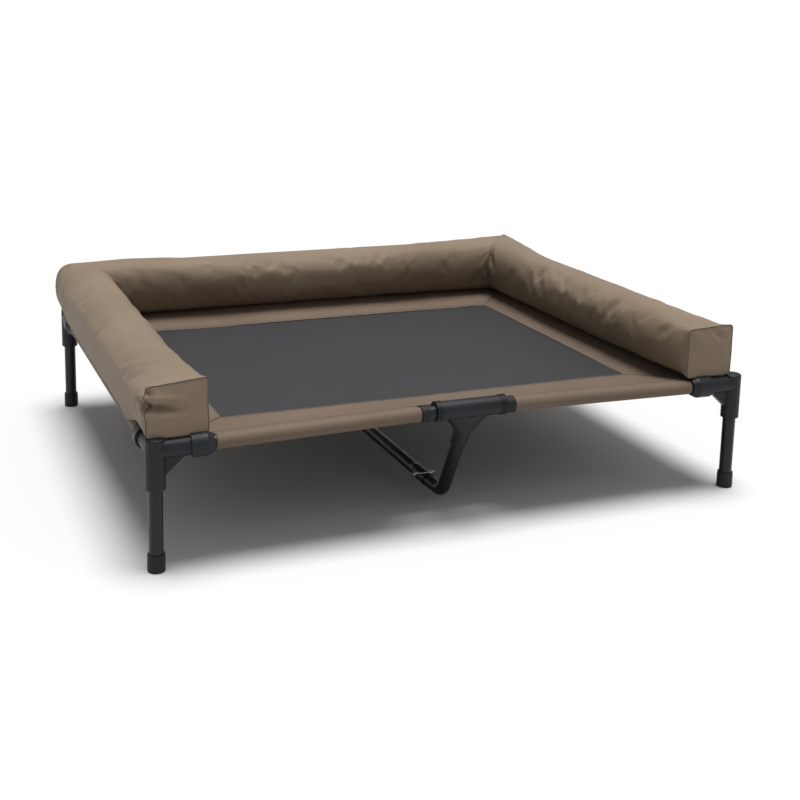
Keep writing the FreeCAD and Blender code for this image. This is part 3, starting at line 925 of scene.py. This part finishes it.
@dataclass
class Sling:
    """The sewn sling: four border strips with rail sleeves, and the mesh in the middle.

    A place on a strip is given by its side of the bed, the place along that side from its
    middle, and the distance in from the rail's axis.
    """

    finishes: Finishes
    half_x: float = 0.585
    half_y: float = 0.468
    rail: float = 0.217
    rise: float = 0.011
    sleeve: float = 0.0136
    border: float = 0.155
    drop: float = 0.024
    sag: float = 0.004
    seam: float = 0.028
    corner_cut: float = 0.104
    nose_clear: float = 0.0135
    collar_clear: float = 0.0215
    notch_depth: float = 0.034
    notch_left: float = 0.1008
    notch_right: float = 0.0898
    thickness: float = 0.0011
    mesh_thickness: float = 0.0007
    mesh_overlap: float = 0.012
    wrap_length: float = 0.104
    wrap_weave: float = 0.095
    round_share: float = 0.75
    rows: int = 56
    wrap_rows: int = 22
    columns: int = 168

    def rail_level(self, side: Side, along: float) -> float:
        """The height of a rail's axis.

        Args:
            side: the rail's side.
            along: the place along the rail, from the bed's middle.

        Returns:
            The height in metres.
        """
        if side in (Side.LEFT, Side.RIGHT):
            return self.rail
        return self.rail + self.rise * (1 - abs(along) / self.half_x)

    def place(self, side: Side, along: float, inward: float, level: float) -> Vector:
        """A point given by its side of the bed.

        Args:
            side, along, inward: the place on the strip.
            level: the height.

        Returns:
            The point in the frame's axes.
        """
        if side in (Side.FRONT, Side.BACK):
            return Vector((along, side.sign * (self.half_y - inward), level))
        return Vector((side.sign * (self.half_x - inward), along, level))

    def reach(self, side: Side, inward: float) -> float:
        """Half the length of a border strip at a distance in from its rail.

        Args:
            side: the strip's side.
            inward: the distance in from the rail's axis.

        Returns:
            Half the strip's length there.
        """
        half = self.half_x if side in (Side.FRONT, Side.BACK) else self.half_y
        past_collar = smooth_step(inward, self.nose_clear, self.collar_clear)
        return half - max(self.corner_cut - past_collar * inward, inward)

    def top_level(self, side: Side, along: float, inward: float) -> float:
        """The height of the border's top face.

        Args:
            side, along, inward: the place on the strip.

        Returns:
            The height in metres.
        """
        rim = self.rail_level(side, along) + self.sleeve
        mesh = self.rail + self.sleeve - self.drop
        share = min(inward / self.border, 1.0)
        curve = share + 0.10 * math.sin(math.pi * share)
        return rim + (mesh - rim) * curve

    def wrap(self, side: Side, along: float, turn: float) -> tuple[float, float]:
        """A point of the sleeve that goes round the rail.

        Args:
            side: the strip's side.
            along: the place along that side.
            turn: from 0 on top of the rail to 1 where the sleeve meets the sheet from below.

        Returns:
            The distance in from the rail's axis and the height.
        """
        axis = self.rail_level(side, along)
        if turn < self.round_share:
            angle = math.pi * (0.5 + turn / self.round_share * 1.05)
            return math.cos(angle) * self.sleeve, axis + math.sin(angle) * self.sleeve
        share = (turn - self.round_share) / (1 - self.round_share)
        angle = math.pi * 1.55
        start = Vector((math.cos(angle) * self.sleeve, axis + math.sin(angle) * self.sleeve))
        end = Vector((self.seam, self.top_level(side, along, self.seam) - 0.0014))
        spot = start.lerp(end, share)
        return spot.x, spot.y

    def border_strip(self, side: Side) -> bpy.types.Object:
        """Sews one border strip with its sleeve.

        Args:
            side: the strip's side.

        Returns:
            The strip.
        """
        sketch = bmesh.new()
        bmesh.ops.create_grid(sketch, x_segments=self.columns, y_segments=self.rows, size=1.0)
        uv = sketch.loops.layers.uv.new("cloth")
        wrap_share = self.wrap_rows / self.rows
        flat: dict[int, tuple[float, float]] = {}
        sketch.verts.index_update()
        for vert in sketch.verts:
            share_x, share_y = vert.co.x, (vert.co.y + 1) / 2
            if share_y < wrap_share:
                turn = 1 - share_y / wrap_share
                along = share_x * self.reach(side, 0.0)
                inward, level = self.wrap(side, along, turn)
                flat[vert.index] = (along, -turn * self.wrap_weave)
            else:
                inward = (share_y - wrap_share) / (1 - wrap_share) * self.border
                along = share_x * self.reach(side, inward)
                level = self.cloth_level(side, along, inward)
                flat[vert.index] = (along, inward)
            vert.co = self.place(side, along, inward, level)
        for face in sketch.faces:
            for loop in face.loops:
                loop[uv].uv = flat[loop.vert.index]
        if side in (Side.FRONT, Side.BACK):
            self.cut_notch(sketch, side)
        bmesh.ops.recalc_face_normals(sketch, faces=sketch.faces)
        area = sum(face.calc_area() for face in sketch.faces)
        piece = to_object(sketch, f"sling_{side.value}_border", self.finishes.border)
        thicken(piece, self.thickness)
        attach(piece, Body.FRAME.value)
        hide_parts(f"sling_border_{side.value}")
        return piece

    def cut_notch(self, sketch: bmesh.types.BMesh, side: Side) -> None:
        """Cuts the strip away round the tee in the middle of a long side.

        Args:
            sketch: the strip's bmesh.
            side: the strip's side.
        """
        line = side.sign * (self.half_y - self.notch_depth)
        cuts = [
            (Vector((-self.notch_left, 0, 0)), Vector((1, 0, 0))),
            (Vector((self.notch_right, 0, 0)), Vector((1, 0, 0))),
            (Vector((0, line, 0)), Vector((0, 1, 0))),
        ]
        for point, normal in cuts:
            parts = list(sketch.verts) + list(sketch.edges) + list(sketch.faces)
            bmesh.ops.bisect_plane(sketch, geom=parts, plane_co=point, plane_no=normal)
        gone = []
        for face in sketch.faces:
            middle = face.calc_center_median()
            beyond = side.sign * middle.y > side.sign * line
            if beyond and -self.notch_left < middle.x < self.notch_right:
                gone.append(face)
        bmesh.ops.delete(sketch, geom=gone, context="FACES")

    def pucker(self, side: Side, along: float, inward: float) -> float:
        """Small gathers of the cloth at its seams and corners.

        Args:
            side, along, inward: the place on the strip.

        Returns:
            The lift in metres.
        """
        near_sleeve = math.exp(-(((inward - self.seam) / 0.012) ** 2))
        near_mesh = math.exp(-(((inward - self.border) / 0.016) ** 2))
        ripple = noise.noise(Vector((along * 42.0, inward * 12.0, side.sign * 3.0)))
        broad = noise.noise(Vector((along * 6.0, inward * 9.0, side.sign * 5.0 + 1.0)))
        edge = min(self.reach(side, inward) - abs(along), 0.1) / 0.1
        fade = min(inward / 0.03, 1.0)
        return fade * (ripple * 0.0011 * (near_sleeve + near_mesh * 0.7) + broad * 0.0014 * max(edge, 0.0))

    def cloth_level(self, side: Side, along: float, inward: float) -> float:
        """The height of the border's top face with its gathers, as in top_level."""
        return self.top_level(side, along, inward) + self.pucker(side, along, inward)

    def mesh_level(self, across: float, along: float) -> float:
        """The height of the mesh at a share of its half width and half depth."""
        rim = self.rail + self.sleeve - self.drop - self.thickness - 0.0003
        fall = (1 - abs(across) ** 2.4) * (1 - abs(along) ** 2.4)
        return rim - self.sag * fall

    def mesh_panel(self) -> bpy.types.Object:
        """Stretches the mesh panel inside the border.

        Returns:
            The panel.
        """
        half_x = self.half_x - self.border + self.mesh_overlap
        half_y = self.half_y - self.border + self.mesh_overlap
        sketch = bmesh.new()
        bmesh.ops.create_grid(sketch, x_segments=88, y_segments=66, size=1.0)
        uv = sketch.loops.layers.uv.new("cloth")
        for vert in sketch.verts:
            across, along = vert.co.x, vert.co.y
            ripple = noise.noise(Vector((across * 5.0, along * 4.0, 2.0))) * 0.0014
            inner = (1 - across ** 8) * (1 - along ** 8)
            level = self.mesh_level(across, along) + ripple * inner
            vert.co = Vector((across * half_x, along * half_y, level))
        for face in sketch.faces:
            for loop in face.loops:
                loop[uv].uv = (loop.vert.co.x, loop.vert.co.y)
        bmesh.ops.recalc_face_normals(sketch, faces=sketch.faces)
        piece = to_object(sketch, "sling_mesh", self.finishes.mesh)
        thicken(piece, self.mesh_thickness)
        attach(piece, Body.FRAME.value)
        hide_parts("mesh_panel")
        return piece

    def row(self, side: Side, places: list[tuple[float, float]], lift: float) -> list[Vector]:
        """The path of a row of stitches over the cloth.

        Args:
            side: the strip's side.
            places: the places along that side and in from the rail's axis.
            lift: how far above the cloth the row lies.

        Returns:
            The points of the path.
        """
        return [
            self.place(side, along, inward, self.cloth_level(side, along, inward) + lift)
            for along, inward in places
        ]

    def seam_rows(self, side: Side, inward: float, lift: float) -> list[list[Vector]]:
        """The path of a row of stitches along a border strip.

        Args:
            side: the strip's side.
            inward: the row's distance in from the rail's axis.
            lift: how far above the cloth it lies.

        Returns:
            One path, or two where the tee's notch parts it.
        """
        reach = self.reach(side, inward) - 0.003
        spans = [(-reach, reach)]
        if side in (Side.FRONT, Side.BACK) and inward < self.notch_depth:
            spans = [(-reach, -self.notch_left - 0.003), (self.notch_right + 0.003, reach)]
        return [
            self.row(side, [(start + (end - start) * step / 160, inward) for step in range(161)], lift)
            for start, end in spans
        ]

    def mitre_rows(self) -> list[list[Vector]]:
        """The rows of stitches along the mitred seams at the corners of the border."""
        first = self.corner_cut / 2
        depths = [first + (self.border - first) * step / 40 for step in range(41)]
        rows = []
        for side in (Side.FRONT, Side.BACK):
            for end in (-1, 1):
                places = [(end * (self.reach(side, inward) - 0.0035), inward) for inward in depths]
                rows.append(self.row(side, places, 0.0003))
        return rows

    def build(self) -> None:
        """Makes the whole sling with its seams."""
        for side in Side:
            piece = self.border_strip(side)
            log.info("%s: %d vertices", piece.name, len(piece.data.vertices))
        self.mesh_panel()
        lift = 0.0002
        rows = [row for side in Side for row in self.seam_rows(side, self.seam, lift)]
        for side in Side:
            for inward in (0.1440, 0.1510):
                rows += self.seam_rows(side, inward, lift)
        rows += self.mitre_rows()
        thread = stitches("sling_stitches", rows, self.finishes.dark_thread)
        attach(thread, Body.FRAME.value)
        log.info("sling stitches: %d rows", len(rows))


@dataclass
class Hardware:
    """The hard pieces, which keep the frame's shape and get their finishes."""

    finishes: Finishes

    def dress(self) -> None:
        """Gives every hard piece its finish."""
        slots = {
            "connector_plastic": self.finishes.plastic,
            "foot_plastic": self.finishes.foot,
            "ring_rubber": self.finishes.rubber,
            "tube_coating": self.finishes.coat,
            "steel_wire": self.finishes.wire,
            "tape": self.finishes.tape,
        }
        for part in frame["record"]["subparts"]:
            material = slots.get(part["material_slot"])
            node = frame["nodes"][part["node"]]
            if material is None:
                continue
            for slot in node.material_slots:
                slot.material = material
        log.info("hard pieces dressed")


@dataclass
class Studio:
    """The floor, the light and the camera."""

    eye: tuple = (-1.002906, -2.433745, 0.956937)
    yaw: float = 0.373831802
    pitch: float = 0.188541299
    roll: float = 0.0162133848
    focal: float = 56.19
    shift: tuple = (0.05625, -0.20)
    floor_half: float = 400.0
    floor_rise: float = 0.08
    floor_tone: float = 0.56
    sky: float = 0.38

    def camera(self) -> None:
        """Places the camera at the photograph's viewing angle."""
        data = bpy.data.cameras.new("camera")
        data.lens = self.focal
        data.sensor_width = 36.0
        data.sensor_fit = "HORIZONTAL"
        data.shift_x, data.shift_y = self.shift
        data.clip_start, data.clip_end = 0.05, 900.0
        eye = bpy.data.objects.new("camera", data)
        forward = Vector((
            math.sin(self.yaw) * math.cos(self.pitch),
            math.cos(self.yaw) * math.cos(self.pitch),
            -math.sin(self.pitch),
        ))
        right = Vector((math.cos(self.yaw), -math.sin(self.yaw), 0.0))
        upward = right.cross(forward)
        turned_right = right * math.cos(self.roll) + upward * math.sin(self.roll)
        turned_up = upward * math.cos(self.roll) - right * math.sin(self.roll)
        turn = Matrix((turned_right, turned_up, -forward)).transposed()
        eye.matrix_world = Matrix.Translation(Vector(self.eye)) @ turn.to_4x4()
        bpy.context.scene.collection.objects.link(eye)
        bpy.context.scene.camera = eye

    def sun(self, name: str, way: tuple, spread: float, strength: float) -> None:
        """Hangs a very large and distant lamp, which lights the floor evenly.

        Args:
            name: the lamp's name.
            way: the direction from the bed to the lamp.
            spread: the angle that the lamp fills, in degrees, which softens its shadows.
            strength: its strength.
        """
        data = bpy.data.lights.new(name, "SUN")
        data.angle = math.radians(spread)
        data.energy = strength
        lamp = bpy.data.objects.new(name, data)
        lamp.rotation_euler = Vector(way).to_track_quat("Z", "Y").to_euler()
        bpy.context.scene.collection.objects.link(lamp)

    def floor(self) -> None:
        """Lays the plain pale floor, which rises at its far edges to hide the horizon."""
        sketch = bmesh.new()
        bmesh.ops.create_grid(sketch, x_segments=4, y_segments=4, size=self.floor_half)
        for vert in sketch.verts:
            if max(abs(vert.co.x), abs(vert.co.y)) > self.floor_half * EDGE:
                vert.co.z = self.floor_half * self.floor_rise
        recipe = Recipe("pale_floor")
        tone = self.floor_tone
        recipe.surface(Base_Color=(tone, tone, tone, 1.0), Roughness=0.95, Specular_IOR_Level=0.05)
        floor = to_object(sketch, "floor", recipe.material)

    def light(self) -> None:
        """Sets the soft studio light."""
        world = bpy.data.worlds.new("studio")
        scene = bpy.context.scene
        scene.world = world
        scene.view_settings.view_transform = "Standard"
        world.use_nodes = True
        sky = world.node_tree.nodes["Background"]
        sky.inputs["Color"].default_value = (1.0, 1.0, 1.0, 1.0)
        sky.inputs["Strength"].default_value = self.sky
        self.sun("key", (0.05, 0.02, 1.0), 30.0, 4.5)
        self.sun("fill", (0.9, -0.5, 0.8), 50.0, 0.25)

    def build(self) -> None:
        """Makes the whole studio."""
        self.floor()
        self.light()
        self.camera()


def bolster_seat() -> Seat:
    """Finds the pieces that the bolsters rest on.

    Returns:
        Their outside as one surface.
    """
    kinds = (
        "corner", "long_collar", "side_collar", "long_rail", "side_rail", "rail_ring", "tee_back", "loop",
    )
    pieces = [node for name, node in frame["nodes"].items() if name.startswith(kinds)]
    pieces += [bpy.data.objects[f"sling_{side.value}_border"] for side in Side]
    return Seat.under(pieces)


def bolster_set(finishes: Finishes) -> list[Bolster]:
    """The three bolsters with their folds.

    Args:
        finishes: the finishes of the bed.

    Returns:
        The bolsters, not yet built.
    """
    seat = bolster_seat()
    left = Bolster("bolster_left_cover", "bolster_left", Side.LEFT, finishes, seat)
    left.end_tilt, left.end_spread = 0.010, 0.006
    left.creases = [
        Crease((-0.601, -0.436, 0.301), (-0.602, -0.500, 0.292), 0.0080, 0.0075, 0.90),
        Crease((-0.640, -0.474, 0.299), (-0.540, -0.474, 0.286), 0.0100, 0.0080, 0.95),
        Crease((-0.606, -0.456, 0.336), (-0.592, -0.478, 0.306), 0.0045, 0.0060, 0.85),
        Crease((-0.592, -0.345, 0.322), (-0.553, -0.385, 0.347), 0.0022, 0.0090, 0.12),
        Crease((-0.600, 0.272, 0.300), (-0.522, 0.185, 0.345), 0.0026, 0.0110, 0.10),
        Crease((-0.596, 0.020, 0.315), (-0.602, -0.060, 0.276), 0.0022, 0.0090, 0.10),
        Crease((-0.560, 0.100, 0.349), (-0.510, 0.010, 0.330), 0.0018, 0.0120, 0.06),
        Crease((-0.512, 0.372, 0.340), (-0.494, 0.330, 0.292), 0.0060, 0.0120, 0.45),
    ]
    right = Bolster("bolster_right_cover", "bolster_right", Side.RIGHT, finishes, seat)
    right.end_tilt, right.low_end, right.high_run, right.high_end = -0.003, 0.2388, 0.3525, 0.3375
    right.creases = [
        Crease((0.500, 0.400, 0.345), (0.468, 0.352, 0.292), 0.0070, 0.0110, 0.70),
        Crease((0.508, 0.258, 0.345), (0.470, 0.242, 0.296), 0.0026, 0.0120, 0.12),
        Crease((0.484, 0.140, 0.330), (0.469, 0.086, 0.280), 0.0036, 0.0120, 0.25),
        Crease((0.536, -0.028, 0.348), (0.470, 0.030, 0.296), 0.0030, 0.0130, 0.10),
        Crease((0.520, -0.235, 0.348), (0.474, -0.190, 0.306), 0.0036, 0.0120, 0.12),
        Crease((0.476, -0.200, 0.318), (0.469, -0.170, 0.276), 0.0030, 0.0120, 0.20),
        Crease((0.494, -0.425, 0.336), (0.468, -0.382, 0.306), 0.0034, 0.0090, 0.20),
        Crease((0.512, -0.450, 0.342), (0.550, -0.480, 0.316), 0.0040, 0.0065, 0.30),
    ]
    back = Bolster("bolster_back_cover", "bolster_back", Side.BACK, finishes, seat)
    back.creases = [
        Crease((-0.452, 0.404, 0.340), (-0.420, 0.380, 0.290), 0.0024, 0.0120, 0.10),
        Crease((0.120, 0.440, 0.350), (0.060, 0.384, 0.310), 0.0024, 0.0140, 0.08),
        Crease((0.330, 0.438, 0.350), (0.380, 0.384, 0.312), 0.0022, 0.0130, 0.08),
    ]
    return [left, back, right]


def main() -> None:
    """Builds the bed and the studio round it."""
    finishes = Finishes()
    Studio().build()
    Hardware(finishes).dress()
    Sling(finishes).build()
    for bolster in bolster_set(finishes):
        bolster.build()
    log.info("sizes noted")


if __name__ == "__main__":
    main()
